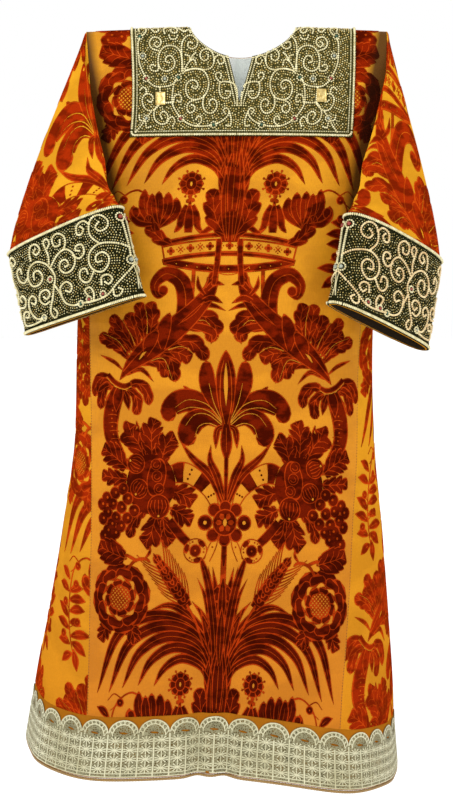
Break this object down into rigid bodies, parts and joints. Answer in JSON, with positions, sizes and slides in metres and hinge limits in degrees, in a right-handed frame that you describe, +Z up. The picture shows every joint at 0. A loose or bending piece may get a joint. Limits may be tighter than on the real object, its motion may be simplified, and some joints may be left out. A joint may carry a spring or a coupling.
{
  "type": "dalmatic",
  "caption": "Ceremonial church dalmatic of crimson and gold figured velvet with wide sleeves, a pearled square collar and cuffs with scrolls, and a scalloped metal lace hem.",
  "frame": {"origin": "middle of the shoulder line at its outer tips' height, where the wearer's shoulders or a hanger carry the garment", "axes": "+Z up, the garment's length; the front looks along -Y; +X is the right side as seen from the front"},
  "size_m": [0.822, 0.4882, 1.4442],
  "materials": {
    "velvet": "figured cut velvet, crimson pile on golden satin",
    "silk": "plain golden silk",
    "lining": "plain pale silk",
    "pearl": "dark cloth covered with pearl embroidery and metal thread",
    "lace": "silver-gilt metal thread bobbin lace",
    "cord": "twisted gold-brown cord",
    "gold": "polished gilt"
  },
  "bodies": {
    "root": {"front_panel": "velvet", "back_panel": "velvet", "gore_left": "velvet", "gore_right": "velvet", "sleeve_left": "velvet", "sleeve_right": "velvet", "collar": "pearl", "cuff_left": "pearl", "cuff_right": "pearl", "neck_lining": "lining", "hem_band": "silk", "hem_lace_front": "lace", "hem_lace_back": "lace", "hem_cord": "cord", "plaque_left": "gold", "plaque_right": "gold"}
  },
  "joints": []
}
